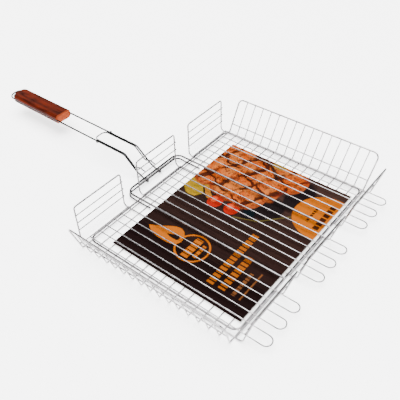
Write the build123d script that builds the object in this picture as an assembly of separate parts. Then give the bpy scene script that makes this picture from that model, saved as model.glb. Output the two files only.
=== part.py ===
from build123d import *
import math
import os

# Flat wire grill basket: an open basket with flared wire walls, a tilting wire lid
# whose finger loops pass through the front panels, and a long two-wire handle with a
# wooden grip that hangs on the basket's bail and carries a sliding lock loop.
# Millimetres. +X runs from the handle to the finger side, +Z is up. Left and right are
# as seen from the finger side, so left is -Y and right is +Y. Positions below
# are measured from the middle of the basket floor, and export() moves the model so
# that its own origin is under the middle of the whole object.

# ---- wires ----
CROSS_D = 2.2
ROD_D = 2.8
RUNG_D = 2.0
RAIL_D = 3.0
LOWER_RAIL_D = 2.4
LID_FRAME_D = 3.6
FINGER_D = 2.1
LID_BAIL_D = 4.0
BASKET_BAIL_D = 3.6
HANDLE_D = 3.6
LOCK_D = 2.8
WELD = 0.04            # how far two welded wires sink into each other
BUTT_GAP = 0.02        # gap between wires that meet end to end
LEG_GAP = 0.3          # gap between the lower rail's ends and the top rail's leaning legs
LEAN_GAP = 0.12        # lets the square end of a leaning upright touch the top rail at one edge

# ---- basket floor and long walls ----
CROSS_COUNT = 17
CROSS_PITCH = 20.1
FLOOR_HALF_Y = 218.8
FOOT_STUB = 6.0        # floor stretch of each wall wire, before its bend
WALL_BEND_R = 4.5
WALL_TOP_Z = 72.8
WALL_TOP_Y = 244.4
WALL_LEAN = 7.5        # how far the walls' tops stand towards the finger side of their feet
RAIL_CORNER_R = 11.0
LOWER_RAIL_Z = 19.5

# ---- short panels at the handle side and at the finger side ----
PANEL_SPANS = {"left": (-208.0, -97.0), "middle": (-54.0, 54.0), "right": (97.0, 208.0)}
REAR_X = -177.0
REAR_TOP_Z = 80.0
FRONT_X = 176.0
FRONT_TOP_X = 197.0
FRONT_TOP_Z = 77.0
PANEL_FOOT = 11.0      # length of the bent foot that lies on the floor
FOOT_BEND_R = 9.0
PANEL_CORNER_R = 5.0
RUNG_HEIGHTS = (0.32, 0.545, 0.77)
RUNG_OVERHANG = 1.5

# ---- printed card ----
CARD_SIZE = (279.0, 361.0, 0.6)
CARD_CENTRE = (15.9, -1.2)

# ---- lid ----
LID_Z = 10.7
LID_X = (-158.5, 162.5)
LID_HALF_Y = 203.0
LID_CORNER_R = 14.0
FINGER_PITCH = 38.0
FINGER_SLOTS = {"left": (-5, -4, -3), "middle": (-1, 0, 1), "right": (3, 4, 5)}
FINGER_WIDTH = 20.7
FINGER_TIP_X = 216.0
TIP_FLAT = 0.1         # half the straight stretch left at a fingertip
BAIL_HALF_Y = 74.0
LID_BAIL_X = -191.0
LID_BAIL_CORNER_R = 16.0

# ---- basket bail, which the handle hangs on ----
PIVOT_X = -191.0
PIVOT_Z = 6.2
BAIL_START_X = -131.0
BAIL_KINK_X = -163.5
BAIL_KINK_R = 20.0
BASKET_BAIL_CORNER_R = 12.0

# ---- handle ----
HANDLE_Z = 43.0
HANDLE_HALF_Y = 18.5
HANDLE_END_X = -619.0
HANDLE_BEND_X = -248.0
HANDLE_FOOT = (-217.0, 15.5)
HANDLE_END_R = 17.5
HANDLE_FOOT_R = 10.0
HANDLE_BEND_R = 14.0
EYE_FIT = 0.1          # radial clearance of each eye on the bail
EYE_WRAP = 285.0
GRIP_X = (-606.0, -449.5)
GRIP_HALF_Y = 20.0
GRIP_HALF_Z = 10.0
GRIP_REAR_R = 14.0
GRIP_CHAMFER = 4.5
GRIP_FRONT_CHAMFER = 2.0
GROOVE_FIT = 0.05
CUT_OVERRUN = 1.0      # how far each cut runs past the wood

# ---- sliding lock loop ----
LOCK_HALF_Y = 14.8
LOCK_END_X = -337.0
LOCK_PATH = ((-250.0, 43.0), (-224.0, 19.5), (-210.0, 25.5), (-196.0, 21.2))
LOCK_RADII = (10.0, 6.0, 8.0)
LOCK_END_R = 10.0
GUIDE_GAP = 0.35
GUIDE_D = 2.2

# ---- worked out ----
CROSS_Z = CROSS_D / 2
ROD_Z = CROSS_D + ROD_D / 2 - WELD
CARD_Z = ROD_Z + ROD_D / 2 + BUTT_GAP
FINGER_Z = LID_Z + (LID_FRAME_D + FINGER_D) / 2 - WELD
LID_BAIL_Z = LID_Z + (LID_FRAME_D + LID_BAIL_D) / 2 - WELD
BAIL_FLOOR_Z = CROSS_D + BASKET_BAIL_D / 2 - WELD
FIRST_CROSS_X = -CROSS_PITCH * (CROSS_COUNT - 1) / 2
REAR_ROD_X = REAR_X + PANEL_FOOT
FRONT_ROD_X = FRONT_X - PANEL_FOOT
SPAN_X = (HANDLE_END_X - HANDLE_D / 2, FINGER_TIP_X + FINGER_D / 2)
ORIGIN_SHIFT = -(SPAN_X[0] + SPAN_X[1]) / 2

os.makedirs("parts", exist_ok=True)


def export(shape, name):
    """Write one node, moved so that the origin is under the middle of the object."""
    export_step(Pos(ORIGIN_SHIFT, 0, 0) * shape, f"parts/{name}.step")


def rod(start, end, diameter):
    """A straight round rod between two points."""
    axis = Vector(*end) - Vector(*start)
    section = Plane(origin=start, z_dir=axis) * Circle(diameter / 2)
    return extrude(section, amount=axis.length)


def wire(points, radii, diameter):
    """A round wire through points, with one bend radius for each inner corner."""
    path = FilletPolyline(*points, radius=list(radii))
    section = Plane(origin=path @ 0, z_dir=path % 0) * Circle(diameter / 2)
    return sweep(section, path=path)


def group(solids):
    """Separate solids that share one node."""
    return Compound(children=list(solids))


def cross_positions():
    return [FIRST_CROSS_X + CROSS_PITCH * i for i in range(CROSS_COUNT)]


# ---- floor ----
def floor_cross_wires():
    """Straight stretches of the cross wires, between the bends of the two long walls."""
    half = FLOOR_HALF_Y - FOOT_STUB - BUTT_GAP
    return group(rod((x, -half, CROSS_Z), (x, half, CROSS_Z), CROSS_D) for x in cross_positions())


def floor_long_rods():
    """Straight rods on top of the cross wires, one under each side of each panel."""
    ends = (REAR_ROD_X + BUTT_GAP, FRONT_ROD_X - BUTT_GAP)
    sides = sorted(y for span in PANEL_SPANS.values() for y in span)
    return group(rod((ends[0], y, ROD_Z), (ends[1], y, ROD_Z), ROD_D) for y in sides)


# ---- long walls ----
def wall_slope():
    """The wall's slope across its length, as a unit vector in (Y, Z), for the wall at +Y."""
    run = WALL_TOP_Y - FLOOR_HALF_Y
    rise = WALL_TOP_Z - CROSS_Z
    length = math.hypot(run, rise)
    return run / length, rise / length


def wall_y(z):
    """Y of the wall's middle plane at height z."""
    run, rise = wall_slope()
    return FLOOR_HALF_Y + (z - CROSS_Z) * run / rise


def wall_shift(z):
    """How far the leaning wall wires have moved along X at height z."""
    return WALL_LEAN * (z - CROSS_Z) / (WALL_TOP_Z - CROSS_Z)


def wall_uprights(side):
    """The cross wires' bends and uprights at one long wall, between the rail's legs."""
    start_y = side * (FLOOR_HALF_Y - FOOT_STUB)
    wires = []
    for x in cross_positions()[1:-1]:
        foot = Vector(x, side * FLOOR_HALF_Y, CROSS_Z)
        top = Vector(x + WALL_LEAN, side * WALL_TOP_Y, WALL_TOP_Z)
        top -= (top - foot).normalized() * (RAIL_D / 2 + LEAN_GAP)
        points = ((x, start_y, CROSS_Z), tuple(foot), tuple(top))
        wires.append(wire(points, (WALL_BEND_R,), CROSS_D))
    return group(wires)


def wall_top_rail(side):
    """Top rail of one long wall, whose legs take the place of the end cross wires' uprights."""
    start_y = side * (FLOOR_HALF_Y - FOOT_STUB)
    foot_y = side * FLOOR_HALF_Y
    top_y = side * WALL_TOP_Y
    foot_z = RAIL_D / 2
    points = (
        (FIRST_CROSS_X, start_y, foot_z),
        (FIRST_CROSS_X, foot_y, foot_z),
        (FIRST_CROSS_X + WALL_LEAN, top_y, WALL_TOP_Z),
        (-FIRST_CROSS_X + WALL_LEAN, top_y, WALL_TOP_Z),
        (-FIRST_CROSS_X, foot_y, foot_z),
        (-FIRST_CROSS_X, start_y, foot_z),
    )
    return wire(points, (WALL_BEND_R, RAIL_CORNER_R, RAIL_CORNER_R, WALL_BEND_R), RAIL_D)


def wall_lower_rail(side):
    """Rail welded to the inner face of the uprights, between the top rail's legs."""
    run, rise = wall_slope()
    inward = (CROSS_D + LOWER_RAIL_D) / 2 - WELD
    y = side * (wall_y(LOWER_RAIL_Z) - rise * inward)
    z = LOWER_RAIL_Z + run * inward
    half = -FIRST_CROSS_X - RAIL_D / 2 - LEG_GAP
    middle = wall_shift(z)
    return rod((middle - half, y, z), (middle + half, y, z), LOWER_RAIL_D)


# ---- short panels ----
def panel(span, rod_x, base_x, top_x, top_z):
    """A U-shaped frame with feet on the floor, and the rungs welded inside it."""
    low, high = span
    points = (
        (rod_x, low, ROD_Z),
        (base_x, low, ROD_Z),
        (top_x, low, top_z),
        (top_x, high, top_z),
        (base_x, high, ROD_Z),
        (rod_x, high, ROD_Z),
    )
    radii = (FOOT_BEND_R, PANEL_CORNER_R, PANEL_CORNER_R, FOOT_BEND_R)
    solids = [wire(points, radii, ROD_D)]
    lean = Vector(top_x - base_x, 0, top_z - ROD_Z).normalized()
    inward = Vector(lean.Z, 0, -lean.X) * math.copysign(1, rod_x - base_x)
    offset = (ROD_D + RUNG_D) / 2 - WELD
    for fraction in RUNG_HEIGHTS:
        height = fraction * (top_z - ROD_Z)
        point = Vector(base_x, 0, ROD_Z) + lean * (height / lean.Z) + inward * offset
        solids.append(rung(point, low, high))
    solids.append(rung(Vector(rod_x, 0, ROD_Z + offset), low, high))
    return group(solids)


def rung(point, low, high):
    """One rung along Y through a point, a little longer than the panel is wide."""
    start = (point.X, low - RUNG_OVERHANG, point.Z)
    end = (point.X, high + RUNG_OVERHANG, point.Z)
    return rod(start, end, RUNG_D)


def basket_bail():
    """U-shaped wire welded on the floor, whose rear bar is the handle's hinge pin."""
    half = BAIL_HALF_Y
    points = (
        (BAIL_START_X, -half, BAIL_FLOOR_Z),
        (BAIL_KINK_X, -half, BAIL_FLOOR_Z),
        (PIVOT_X, -half, PIVOT_Z),
        (PIVOT_X, half, PIVOT_Z),
        (BAIL_KINK_X, half, BAIL_FLOOR_Z),
        (BAIL_START_X, half, BAIL_FLOOR_Z),
    )
    radii = (BAIL_KINK_R, BASKET_BAIL_CORNER_R, BASKET_BAIL_CORNER_R, BAIL_KINK_R)
    return wire(points, radii, BASKET_BAIL_D)


def printed_card():
    """Thin printed card that lies on the floor rods."""
    card = Box(*CARD_SIZE, align=(Align.CENTER, Align.CENTER, Align.MIN))
    return Pos(*CARD_CENTRE, CARD_Z) * card


# ---- lid ----
def lid_frame():
    """Closed rectangular frame of round wire with rounded corners."""
    path = RectangleRounded(LID_X[1] - LID_X[0], 2 * LID_HALF_Y, LID_CORNER_R).wire()
    start = path.edges().sort_by(Axis.Y)[0] @ 0.5
    section = Plane(origin=start, z_dir=(1, 0, 0)) * Circle(LID_FRAME_D / 2)
    ring = sweep(section, path=path)
    return Pos((LID_X[0] + LID_X[1]) / 2, 0, LID_Z) * ring


def finger(slot):
    """One hairpin: two grill wires joined by a round tip beyond the front panels."""
    low = slot * FINGER_PITCH - FINGER_WIDTH / 2
    high = slot * FINGER_PITCH + FINGER_WIDTH / 2
    start_x = LID_X[0] - LID_FRAME_D / 2
    points = (
        (start_x, low, FINGER_Z),
        (FINGER_TIP_X, low, FINGER_Z),
        (FINGER_TIP_X, high, FINGER_Z),
        (start_x, high, FINGER_Z),
    )
    return wire(points, (FINGER_WIDTH / 2 - TIP_FLAT,) * 2, FINGER_D)


def lid_bail():
    """Thick U-shaped wire along the lid that reaches out round the middle rear panel."""
    front_x = LID_X[1] + LID_FRAME_D / 2
    points = (
        (front_x, -BAIL_HALF_Y, LID_BAIL_Z),
        (LID_BAIL_X, -BAIL_HALF_Y, LID_BAIL_Z),
        (LID_BAIL_X, BAIL_HALF_Y, LID_BAIL_Z),
        (front_x, BAIL_HALF_Y, LID_BAIL_Z),
    )
    return wire(points, (LID_BAIL_CORNER_R,) * 2, LID_BAIL_D)


# ---- handle ----
def eye_tangent():
    """Where the handle wire meets the under side of its eye, and its slope there."""
    radius = BASKET_BAIL_D / 2 + EYE_FIT + HANDLE_D / 2
    out_x = PIVOT_X - HANDLE_FOOT[0]
    out_z = HANDLE_FOOT[1] - PIVOT_Z
    reach = math.hypot(out_x, out_z)
    slope = math.atan2(out_z, out_x) + math.asin(radius / reach)
    point_x = PIVOT_X - radius * math.sin(slope)
    point_z = PIVOT_Z - radius * math.cos(slope)
    return point_x, point_z, slope


def handle_wire():
    """One long wire: an eye at each end, two parallel legs, a round loop behind the grip."""
    x, z, slope = eye_tangent()
    half = HANDLE_HALF_Y
    leg = ((x, z), HANDLE_FOOT, (HANDLE_BEND_X, HANDLE_Z), (HANDLE_END_X, HANDLE_Z))
    points = [(px, -half, pz) for px, pz in leg] + [(px, half, pz) for px, pz in reversed(leg)]
    rear_radii = (HANDLE_FOOT_R, HANDLE_BEND_R, HANDLE_END_R)
    radii = (*rear_radii, *reversed(rear_radii))
    body = wire(points, radii, HANDLE_D)
    direction = (math.cos(slope), 0, -math.sin(slope))
    for y in (-half, half):
        section = Plane(origin=(x, y, z), z_dir=direction) * Circle(HANDLE_D / 2)
        axis = Axis((PIVOT_X, y, PIVOT_Z), (0, -1, 0))
        body += revolve(section, axis=axis, revolution_arc=EYE_WRAP)
    return body


def wooden_grip():
    """Chamfered wooden grip, rounded behind, with a groove for the wire along each side."""
    length = GRIP_X[1] - GRIP_X[0]
    bar = Box(length, 2 * GRIP_HALF_Y, 2 * GRIP_HALF_Z)
    bar = fillet(bar.edges().filter_by(Axis.Z).sort_by(Axis.X)[:2], GRIP_REAR_R)
    outline = [edge for face in bar.faces().filter_by(Axis.Z) for edge in face.edges()]
    outline = [edge for edge in outline if edge.center().X < length / 2 - GRIP_CHAMFER]
    bar = chamfer(outline, GRIP_CHAMFER)
    bar = chamfer(bar.faces().sort_by(Axis.X)[-1].edges(), GRIP_FRONT_CHAMFER)
    bar = Pos((GRIP_X[0] + GRIP_X[1]) / 2, 0, HANDLE_Z) * bar
    groove_d = HANDLE_D + 2 * GROOVE_FIT
    for side in (-1, 1):
        y = side * HANDLE_HALF_Y
        start = (GRIP_X[0] - CUT_OVERRUN, y, HANDLE_Z)
        end = (GRIP_X[1] + CUT_OVERRUN, y, HANDLE_Z)
        bar -= rod(start, end, groove_d)
        mouth = Box(length + 2 * CUT_OVERRUN, 4 * GRIP_HALF_Y, groove_d)
        mouth = Pos(0, side * (HANDLE_HALF_Y + 2 * GRIP_HALF_Y), 0) * mouth
        bar -= Pos((GRIP_X[0] + GRIP_X[1]) / 2, 0, HANDLE_Z) * mouth
    arc_x = HANDLE_END_X + HANDLE_END_R + CUT_OVERRUN
    cut_x = GRIP_X[0] - CUT_OVERRUN
    slot = Box(arc_x - cut_x, 2 * (HANDLE_END_R + HANDLE_D), groove_d)
    bar -= Pos((arc_x + cut_x) / 2, 0, HANDLE_Z) * slot
    return bar


def lock_loop():
    """Sliding U between the handle wires, with two tongues and two guide rings."""
    half = LOCK_HALF_Y
    leg = ((LOCK_END_X, HANDLE_Z), *LOCK_PATH)
    points = [(px, -half, pz) for px, pz in reversed(leg)] + [(px, half, pz) for px, pz in leg]
    radii = (*reversed(LOCK_RADII), LOCK_END_R, LOCK_END_R, *LOCK_RADII)
    body = wire(points, radii, LOCK_D)
    ring_r = HANDLE_D / 2 + GUIDE_GAP + GUIDE_D / 2
    ring_x = LOCK_END_X + LOCK_END_R + LOCK_D
    for side in (-1, 1):
        ring = Torus(ring_r, GUIDE_D / 2)
        body += Pos(ring_x, side * HANDLE_HALF_Y, HANDLE_Z) * Rot(0, 90, 0) * ring
    return body


export(floor_cross_wires(), "floor_cross_wires")
export(floor_long_rods(), "floor_long_rods")
for name, side in (("left", -1), ("right", 1)):
    export(wall_uprights(side), f"{name}_wall_uprights")
    export(wall_top_rail(side), f"{name}_wall_top_rail")
    export(wall_lower_rail(side), f"{name}_wall_lower_rail")
for name, span in PANEL_SPANS.items():
    export(panel(span, REAR_ROD_X, REAR_X, REAR_X, REAR_TOP_Z), f"rear_panel_{name}")
    export(panel(span, FRONT_ROD_X, FRONT_X, FRONT_TOP_X, FRONT_TOP_Z), f"front_panel_{name}")
export(basket_bail(), "basket_bail")
export(printed_card(), "printed_card")
export(lid_frame(), "lid_frame")
for name, slots in FINGER_SLOTS.items():
    export(group(finger(slot) for slot in slots), f"lid_fingers_{name}")
export(lid_bail(), "lid_bail")
export(handle_wire(), "handle_wire")
export(wooden_grip(), "wooden_grip")
export(lock_loop(), "lock_loop")
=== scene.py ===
"""Looks of the wire grill basket: materials, printed card, grip grain, floor, lights and camera."""

import math

import bpy
from mathutils import Matrix, Vector


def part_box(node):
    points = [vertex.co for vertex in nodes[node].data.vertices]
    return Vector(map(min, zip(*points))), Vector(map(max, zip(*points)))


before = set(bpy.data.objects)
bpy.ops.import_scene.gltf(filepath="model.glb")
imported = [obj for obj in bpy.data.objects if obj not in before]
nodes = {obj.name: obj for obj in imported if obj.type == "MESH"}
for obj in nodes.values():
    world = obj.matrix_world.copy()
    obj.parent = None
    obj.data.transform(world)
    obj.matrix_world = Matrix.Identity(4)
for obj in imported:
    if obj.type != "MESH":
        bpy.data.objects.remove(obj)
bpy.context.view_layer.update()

CARD_LOW, CARD_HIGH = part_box("printed_card")
MM_PER_METRE = 1000.0

CAMERA_AT = (0.644005, -0.61173, 0.72808)
CAMERA_TURN = (42.2, -2.04, 39.97)  # elevation, roll, azimuth in degrees
LENS = 50.81
SENSOR = 36.0

# these wires get the darker copy of the chrome, painted shade for how dark they look
THICK = {"lid_frame", "lid_bail", "basket_bail", "handle_wire", "lock_loop"}
SHADE_BEHIND = (0.06, 0.0)  # X where the painted shade on the plating starts, and where it is darkest; it stands in for darker reflections
SHADE_TIPS = (0.38, 0.405)  # the same painted shade at the fingertips
WIRE_ROUGHNESS = 0.06
INK_STRENGTH = 0.52
PLANK_WIDTH = 47.0  # mm on the card
FIRST_PLANK = 22.0  # how much of the first plank lies outside the card

FLOOR_SIZE = 40.0
FLOOR_DROP = 0.0003
FLOOR_GLOW = 1.9
SKY_STRENGTH = 18.0
WALL_TOP = 0.3  # the pale wall behind the floor reaches this height of the view direction
WALL_SHARE = 0.22  # its brightness, as a share of the light overhead
DARK_SHARE = 0.004
DARK_BAND = (WALL_TOP + 0.06, 0.80)
OVERHEAD = 0.95  # the overhead light is brightest from this height up


# ---- node helpers ----
class Graph:
    """Short names for building one material's node tree."""

    def __init__(self, name):
        self.material = bpy.data.materials.new(name)
        self.material.use_nodes = True
        self.tree = self.material.node_tree
        self.shader = self.tree.nodes["Principled BSDF"]

    def node(self, kind, **settings):
        made = self.tree.nodes.new(kind)
        for key, value in settings.items():
            setattr(made, key, value)
        return made

    def plug(self, value, socket):
        if isinstance(value, bpy.types.NodeSocket):
            self.tree.links.new(value, socket)
        else:
            socket.default_value = value

    def finish(self, socket, value):
        """Set one socket of the shader, or feed it."""
        self.plug(value, self.shader.inputs[socket])

    def math(self, operation, a, b=0.0):
        made = self.node("ShaderNodeMath", operation=operation)
        self.plug(a, made.inputs[0])
        self.plug(b, made.inputs[1])
        return made.outputs[0]

    def plus(self, a, b):
        return self.math("ADD", a, b)

    def minus(self, a, b):
        return self.math("SUBTRACT", a, b)

    def times(self, a, b):
        return self.math("MULTIPLY", a, b)

    def fraction(self, a, pitch=1.0):
        """How far a value is through its repeat, from 0 to 1."""
        return self.math("FRACT", self.math("DIVIDE", a, pitch))

    def mix(self, share, a, b):
        made = self.node("ShaderNodeMix", data_type="RGBA")
        self.plug(share, made.inputs["Factor"])
        self.plug(a, made.inputs["A"])
        self.plug(b, made.inputs["B"])
        return made.outputs["Result"]

    def ramp(self, value, low, high, a=0.0, b=1.0):
        """A smooth step from a at low to b at high."""
        made = self.node("ShaderNodeMapRange", interpolation_type="SMOOTHSTEP")
        self.plug(value, made.inputs["Value"])
        for key, number in (("From Min", low), ("From Max", high), ("To Min", a), ("To Max", b)):
            made.inputs[key].default_value = number
        return made.outputs["Result"]

    def place(self):
        """The object's own coordinates, which are the frame's metres."""
        return self.node("ShaderNodeTexCoord").outputs["Object"]

    def normal(self):
        return self.node("ShaderNodeNewGeometry").outputs["Normal"]

    def axes(self, vector):
        made = self.node("ShaderNodeSeparateXYZ")
        self.plug(vector, made.inputs[0])
        return made.outputs

    def scaled(self, vector, scale):
        made = self.node("ShaderNodeMapping")
        self.plug(vector, made.inputs["Vector"])
        made.inputs["Scale"].default_value = scale
        return made.outputs["Vector"]

    def noise(self, vector, scale, detail=3.0, distortion=0.0):
        made = self.node("ShaderNodeTexNoise")
        self.plug(vector, made.inputs["Vector"])
        made.inputs["Scale"].default_value = scale
        made.inputs["Detail"].default_value = detail
        made.inputs["Distortion"].default_value = distortion
        return made.outputs["Fac"]

    def bump(self, height, strength, distance):
        made = self.node("ShaderNodeBump")
        made.inputs["Strength"].default_value = strength
        made.inputs["Distance"].default_value = distance
        self.plug(height, made.inputs["Height"])
        self.finish("Normal", made.outputs["Normal"])


def tint(red, green, blue):
    """A linear colour, chosen for how it looks under this scene's light."""
    return (red, green, blue, 1.0)


def ink(red, green, blue):
    """A print or stain colour, at the strength that suits this scene's light."""
    return tint(red * INK_STRENGTH, green * INK_STRENGTH, blue * INK_STRENGTH)


# ---- chrome ----
def chrome(name, light, dark, shade_strength):
    """Plated wire with faint drawing lines, with painted shade towards the handle and at the fingertips
    that stands in for darker reflections.
    """
    g = Graph(name)
    spot = g.place()
    along = g.axes(spot)[0]
    # painted shade: the plating is darkened towards the handle and at the fingertips in place of darker
    # reflections
    painted_shade = g.math("MAXIMUM", g.ramp(along, *SHADE_BEHIND), g.ramp(along, *SHADE_TIPS))
    cloud = g.noise(spot, 90.0, 4.0)
    fine = g.noise(spot, 900.0, 2.0)
    bright = g.mix(g.ramp(cloud, 0.3, 0.7), dark, light)
    # the near-black colour mixed in here is the painted shade
    g.finish("Base Color", g.mix(g.times(painted_shade, shade_strength), bright, tint(0.006, 0.006, 0.0065)))
    g.finish("Roughness", g.ramp(fine, 0.3, 0.7, WIRE_ROUGHNESS * 0.75, WIRE_ROUGHNESS * 1.3))
    g.finish("Metallic", 1.0)
    g.bump(fine, 0.25, 0.0002)
    return g.material


# ---- lacquered wood ----
def red_wood(name):
    """Dark red-brown lacquered wood with grain along X and paler end grain."""
    g = Graph(name)
    spot = g.place()
    streaks = g.noise(g.scaled(spot, (9.0, 60.0, 60.0)), 1.6, 5.0, 0.6)
    fibres = g.noise(g.scaled(spot, (14.0, 420.0, 420.0)), 1.5, 3.0)
    body = g.mix(g.ramp(streaks, 0.35, 0.62), ink(0.036, 0.0056, 0.0028), ink(0.115, 0.0110, 0.0018))
    body = g.mix(g.times(g.ramp(fibres, 0.5, 0.72), 0.4), body, ink(0.014, 0.0040, 0.0030))
    rings = g.noise(g.scaled(spot, (20.0, 160.0, 260.0)), 1.2, 3.0)
    end_colour = g.mix(rings, ink(0.36, 0.052, 0.014), ink(0.48, 0.095, 0.032))
    end_face = g.ramp(g.math("ABSOLUTE", g.axes(g.normal())[0]), 0.55, 0.85)
    g.finish("Base Color", g.mix(end_face, body, end_colour))
    g.finish("Roughness", g.ramp(streaks, 0.3, 0.7, 0.26, 0.4))
    g.finish("Specular IOR Level", 0.02)
    g.bump(g.plus(g.times(fibres, 0.6), streaks), 0.35, 0.0005)
    return g.material


# ---- printed card ----
class Card(Graph):
    """A print drawn in mm: u runs along +Y from the card's side, v along -X from its front edge."""

    def __init__(self, name):
        super().__init__(name)
        x, y, _ = self.axes(self.place())
        self.u = self.times(self.minus(y, CARD_LOW.y), MM_PER_METRE)
        self.v = self.times(self.minus(CARD_HIGH.x, x), MM_PER_METRE)
        joined = self.node("ShaderNodeCombineXYZ")
        self.plug(self.u, joined.inputs[0])
        self.plug(self.v, joined.inputs[1])
        self.flat = joined.outputs[0]
        self.rough_edge = self.wander(0.06, 4.0)
        self.fine_edge = self.wander(0.35, 2.0)
        self.colour = None

    def wander(self, scale, detail):
        """Noise on either side of zero."""
        return self.minus(self.noise(self.flat, scale, detail), 0.5)

    def paint(self, mask, colour, share=1.0):
        """Lay a colour over what is printed so far."""
        if share < 1.0:
            mask = self.times(mask, share)
        self.colour = self.mix(mask, self.colour, colour)

    def both(self, first, *others):
        for mask in others:
            first = self.times(first, mask)
        return first

    def either(self, first, *others):
        for mask in others:
            first = self.math("MAXIMUM", first, mask)
        return first

    def without(self, mask, hole):
        return self.times(mask, self.minus(1.0, hole))

    def reach(self, a, b):
        return self.math("SQRT", self.plus(self.times(a, a), self.times(b, b)))

    def oval(self, cu, cv, ru, rv, wobble=0.0, soft=0.04, turn=0.0):
        c, s = math.cos(math.radians(turn)), math.sin(math.radians(turn))
        du, dv = self.minus(self.u, cu), self.minus(self.v, cv)
        a = self.plus(self.times(du, c / ru), self.times(dv, s / ru))
        b = self.plus(self.times(du, -s / rv), self.times(dv, c / rv))
        reach = self.plus(self.reach(a, b), self.times(self.rough_edge, wobble))
        return self.ramp(reach, 1.0 + soft, 1.0 - soft)

    def block(self, u0, u1, v0, v1, soft=0.8):
        return self.both(
            self.ramp(self.u, u0 - soft, u0 + soft),
            self.ramp(self.u, u1 + soft, u1 - soft),
            self.ramp(self.v, v0 - soft, v0 + soft),
            self.ramp(self.v, v1 + soft, v1 - soft),
        )

    def bars(self, block, pitch, low, high):
        """A block cut into plain upright bars."""
        return self.times(block, self.ramp(self.fraction(self.u, pitch), low, high))

    def line(self, u0, v0, u1, v1, width):
        length = math.hypot(u1 - u0, v1 - v0)
        c, s = (u1 - u0) / length, (v1 - v0) / length
        du, dv = self.minus(self.u, u0), self.minus(self.v, v0)
        along = self.plus(self.times(du, c), self.times(dv, s))
        along = self.math("MINIMUM", self.math("MAXIMUM", along, 0.0), length)
        off = self.reach(self.minus(du, self.times(along, c)), self.minus(dv, self.times(along, s)))
        off = self.plus(off, self.times(self.fine_edge, width * 0.5))
        return self.ramp(off, width / 2 + 0.5, width / 2 - 0.5)

    def stripes(self, turn, pitch, width, bend):
        """Wavering grill marks, with turn the direction across them."""
        c, s = math.cos(math.radians(turn)), math.sin(math.radians(turn))
        across = self.plus(self.times(self.u, c), self.times(self.v, s))
        across = self.plus(across, self.times(self.wander(0.03, 2.0), bend))
        across = self.plus(across, self.times(self.rough_edge, 8.0))
        gap = self.math("ABSOLUTE", self.minus(self.fraction(across, pitch), 0.5))
        return self.ramp(gap, width / pitch, width / pitch * 0.35)

    def drop(self, cu, v0, v1, half):
        """A flame: round at the bottom, drawn to a curved point at the top."""
        t = self.math("DIVIDE", self.minus(self.v, v0), v1 - v0)
        inside = self.math("MAXIMUM", self.times(t, self.minus(1.0, t)), 0.0)
        width = self.times(self.math("POWER", inside, 0.55), 2.1 * half)
        width = self.times(width, self.minus(1.15, self.times(t, 0.85)))
        sway = self.times(self.math("SINE", self.times(t, 5.5)), half * 0.14)
        off = self.math("ABSOLUTE", self.minus(self.minus(self.u, cu), sway))
        return self.ramp(self.minus(off, width), 0.0, -1.6)


def planks(card):
    """Dark planks along v, paler towards high u, with grain and seams."""
    plank = card.math("DIVIDE", card.plus(card.u, FIRST_PLANK), PLANK_WIDTH)
    tone = card.node("ShaderNodeTexWhiteNoise", noise_dimensions="1D")
    card.plug(card.math("FLOOR", plank), tone.inputs["W"])
    uneven = card.times(card.minus(tone.outputs["Value"], 0.5), 0.22)
    side = card.plus(card.ramp(card.u, 20.0, 330.0), uneven)
    card.colour = card.mix(side, ink(0.0085, 0.0032, 0.0030), ink(0.044, 0.021, 0.016))
    grain = card.noise(card.scaled(card.flat, (0.55, 0.02, 1.0)), 1.0, 5.0, 1.2)
    card.paint(card.ramp(grain, 0.4, 0.7), ink(0.0055, 0.0024, 0.0024), 0.5)
    seam = card.ramp(card.math("ABSOLUTE", card.minus(card.fraction(plank), 0.5)), 0.47, 0.5)
    card.paint(seam, ink(0.0025, 0.0012, 0.0012), 0.7)


def shadows_and_twig(card):
    patch = card.either(
        card.oval(300, 78, 46, 26, 0.35, 0.15),
        card.oval(238, 104, 34, 26, 0.4, 0.15),
        card.oval(205, 129, 17, 16, 0.3),
    )
    card.paint(patch, ink(0.0085, 0.0052, 0.0058))
    card.paint(card.oval(207, 130, 11, 11, 0.5), ink(0.0026, 0.0062, 0.008))
    twig = card.either(card.line(181, 148, 198, 105, 3.0), card.line(198, 105, 247, 61, 3.0))
    card.paint(twig, ink(0.075, 0.056, 0.0137))


def vegetables(card):
    """A yellow-green pepper with its stalk, and two tomatoes."""
    pepper = card.mix(card.noise(card.flat, 0.08, 3.0), ink(0.10, 0.090, 0.008), ink(0.48, 0.25, 0.005))
    card.paint(card.oval(216, 258, 34, 27, 0.25, 0.06, 20.0), pepper)
    card.paint(card.line(216, 238, 199, 217, 11.0), ink(0.34, 0.12, 0.008))
    card.paint(card.line(219, 246, 186, 218, 3.4), ink(0.016, 0.009, 0.005))
    tomato = card.either(card.oval(195, 200, 17, 15, 0.2), card.oval(197, 163, 16, 15, 0.2))
    shine = card.either(card.oval(199, 205, 8, 6, 0.4, 0.4), card.oval(201, 168, 8, 6, 0.4, 0.4))
    card.paint(tomato, card.mix(shine, ink(0.30, 0.010, 0.003), ink(0.60, 0.06, 0.012)))


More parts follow.
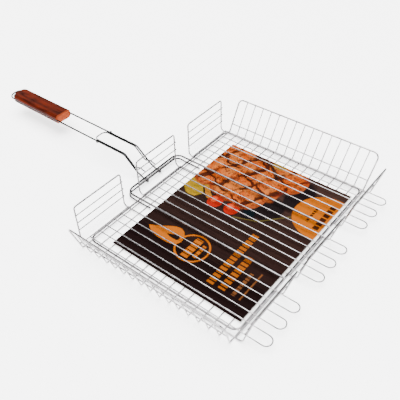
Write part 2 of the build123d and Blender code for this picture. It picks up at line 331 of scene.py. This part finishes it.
def meat(card):
    """Two grilled steaks with crossing marks and darker rims, and greens at the card's edge."""
    blotch = card.ramp(card.noise(card.flat, 0.028, 4.0, 1.4), 0.38, 0.64)
    flesh = card.mix(blotch, ink(0.50, 0.125, 0.020), ink(0.42, 0.060, 0.002))
    browned = card.ramp(card.noise(card.flat, 0.09, 4.0, 1.5), 0.46, 0.68)
    flesh = card.mix(browned, flesh, ink(0.14, 0.024, 0.007))
    glints = card.times(card.ramp(card.noise(card.flat, 0.3, 2.0), 0.55, 0.75), 0.25)
    flesh = card.mix(glints, flesh, ink(0.9, 0.36, 0.10))
    marks = card.either(card.stripes(62.0, 37.0, 7.0, 30.0), card.stripes(-22.0, 56.0, 5.0, 34.0))
    marks = card.both(marks, card.ramp(card.noise(card.flat, 0.03, 2.0), 0.34, 0.5))
    flesh = card.mix(card.times(marks, 0.95), flesh, ink(0.030, 0.0052, 0.0035))
    core = card.either(
        card.oval(298, 190, 80, 76, 0.22),
        card.oval(300, 258, 74, 34, 0.2),
        card.oval(330, 124, 34, 34, 0.3),
        card.oval(248, 160, 30, 28, 0.25),
    )
    flesh = card.mix(card.times(card.minus(1.0, core), 0.6), flesh, ink(0.14, 0.016, 0.007))
    steaks = card.either(
        card.oval(298, 190, 88, 84, 0.22),
        card.oval(300, 258, 82, 40, 0.2),
        card.oval(330, 122, 42, 42, 0.3),
        card.oval(246, 158, 38, 36, 0.25),
    )
    card.paint(steaks, flesh)
    gap = card.either(card.line(372, 240, 352, 176, 13.0), card.line(352, 176, 318, 140, 7.0))
    card.paint(gap, ink(0.016, 0.0060, 0.0050), 0.9)
    greens = card.mix(card.noise(card.flat, 0.12, 3.0), ink(0.10, 0.085, 0.012), ink(0.34, 0.17, 0.020))
    card.paint(card.oval(358, 158, 12, 15, 0.4, 0.15), greens)


def badge(card, orange):
    """A plain round badge with two rows of plain bars."""
    card.paint(card.oval(277, 12, 59, 59, 0.0, 0.02), orange)
    small = card.bars(card.block(252, 292, 32.5, 37.5), 6.5, 0.2, 0.3)
    large = card.bars(card.block(242, 318, 7, 18), 12.6, 0.22, 0.28)
    card.paint(card.either(small, large), ink(0.031, 0.008, 0.003))


def emblem(card, orange):
    """A flame over a ring of plain bars, and rows of bars where text would stand."""
    flame = card.without(card.drop(76, 183, 258, 27), card.drop(77, 189, 218, 8))
    ring = card.without(card.oval(75, 158, 33, 33, 0.0, 0.02), card.oval(75, 158, 29.5, 29.5, 0.0, 0.02))
    inner = card.either(card.block(51, 99, 151, 166), card.block(58, 92, 139, 146))
    inner = card.bars(inner, 9.6, 0.16, 0.24)
    card.paint(card.either(flame, ring, inner), orange)
    lines = card.either(card.block(32, 170, 80, 93.5), card.block(33, 118, 57, 70.5))
    card.paint(card.bars(lines, 9.3, 0.26, 0.36), orange, 0.7)
    faint = card.either(card.bars(card.block(34, 90, 38, 45), 7.1, 0.2, 0.3), card.block(33, 99, 26, 29))
    card.paint(faint, ink(0.18, 0.06, 0.016), 0.75)


def printed(name):
    """Board with a satin print on top, an unprinted front border, and plain edges and back."""
    card = Card(name)
    planks(card)
    shadows_and_twig(card)
    vegetables(card)
    meat(card)
    orange = card.mix(card.noise(card.flat, 0.05, 3.0), ink(0.35, 0.074, 0.0), ink(0.46, 0.115, 0.001))
    badge(card, orange)
    emblem(card, orange)
    card.paint(card.ramp(card.v, 1.9, 1.3), ink(0.85, 0.83, 0.8))
    fibre = card.noise(card.place(), 350.0, 4.0)
    plain = card.mix(fibre, ink(0.42, 0.39, 0.35), ink(0.62, 0.59, 0.55))
    facing_up = card.ramp(card.axes(card.normal())[2], 0.3, 0.6)
    card.finish("Base Color", card.mix(facing_up, plain, card.colour))
    card.finish("Roughness", card.ramp(fibre, 0.3, 0.7, 0.5, 0.7))
    card.finish("Specular IOR Level", 0.01)
    card.bump(fibre, 0.2, 0.0003)
    return card.material


# ---- finishes of the CAD nodes ----
finishes = {
    "thin_wire": chrome("thin_wire_chrome_painted_shade", tint(0.36, 0.345, 0.35), tint(0.20, 0.19, 0.195), 0.62),
    # a darker copy of the same chrome, with stronger painted shade: painted shade for the thick wires'
    # darker look
    "thick_wire": chrome("thick_wire_chrome_painted_shade", tint(0.22, 0.21, 0.215), tint(0.12, 0.113, 0.117), 0.93),
    "wood": red_wood("grip_wood"),
    "card": printed("printed_board"),
}
for name, piece in nodes.items():
    if name == "wooden_grip":
        finish = "wood"
    elif name == "printed_card":
        finish = "card"
    else:
        finish = "thick_wire" if name in THICK else "thin_wire"
    for material_slot in piece.material_slots:
        material_slot.material = finishes[finish]

# ---- floor ----
bpy.ops.mesh.primitive_plane_add(size=FLOOR_SIZE, location=(0, 0, -FLOOR_DROP))
floor = bpy.context.object
floor.name = "floor"
ground = Graph("pale_floor")
ground_tone = ground.noise(ground.place(), 12.0, 3.0)
ground.finish("Base Color", ground.mix(ground_tone, tint(0.90, 0.90, 0.90), tint(0.94, 0.94, 0.94)))
ground.finish("Roughness", 0.8)
ground.finish("Emission Color", tint(1.0, 1.0, 1.0))
ground.finish("Emission Strength", FLOOR_GLOW)
floor.data.materials.append(ground.material)

# ---- light ----
world = bpy.data.worlds.new("studio")
world.use_nodes = True
sky = world.node_tree
sky_height = sky.nodes.new("ShaderNodeSeparateXYZ")
sky_ramp = sky.nodes.new("ShaderNodeValToRGB")
sky.links.new(sky.nodes.new("ShaderNodeTexCoord").outputs["Generated"], sky_height.inputs[0])
sky.links.new(sky_height.outputs["Z"], sky_ramp.inputs["Fac"])
sky.links.new(sky_ramp.outputs["Color"], sky.nodes["Background"].inputs["Color"])
sky_bands = sky_ramp.color_ramp.elements
sky_bands[0].position = WALL_TOP
sky_bands[0].color = tint(WALL_SHARE, WALL_SHARE, WALL_SHARE)
sky_bands[1].position = OVERHEAD
sky_bands[1].color = tint(1.0, 1.0, 1.0)
for position in DARK_BAND:
    sky_bands.new(position).color = tint(DARK_SHARE, DARK_SHARE, DARK_SHARE)
sky.nodes["Background"].inputs["Strength"].default_value = SKY_STRENGTH
bpy.context.scene.world = world


def softbox(name, location, target, size, power):
    light = bpy.data.lights.new(name, "AREA")
    light.shape = "RECTANGLE"
    light.size, light.size_y = size
    light.energy = power
    made = bpy.data.objects.new(name, light)
    bpy.context.scene.collection.objects.link(made)
    made.location = location
    made.rotation_euler = (Vector(target) - Vector(location)).to_track_quat("-Z", "Y").to_euler()


softbox("key_light", (0.3, -1.2, 2.2), (0.1, 0.0, 0.0), (2.4, 1.6), 24.0)
softbox("fill_light", (-1.6, 1.2, 1.6), (0.0, 0.0, 0.0), (1.6, 1.2), 6.0)

# ---- camera ----
camera = bpy.data.objects.new("camera", bpy.data.cameras.new("camera"))
bpy.context.scene.collection.objects.link(camera)
camera.data.lens = LENS
camera.data.sensor_width = SENSOR
camera.data.clip_start = 0.01
camera.data.clip_end = 50.0
elevation, roll, azimuth = (math.radians(a) for a in CAMERA_TURN)
turn = (
    Matrix.Rotation(azimuth, 4, "Z")
    @ Matrix.Rotation(math.pi / 2 - elevation, 4, "X")
    @ Matrix.Rotation(roll, 4, "Z")
)
camera.matrix_world = Matrix.Translation(CAMERA_AT) @ turn
bpy.context.scene.camera = camera
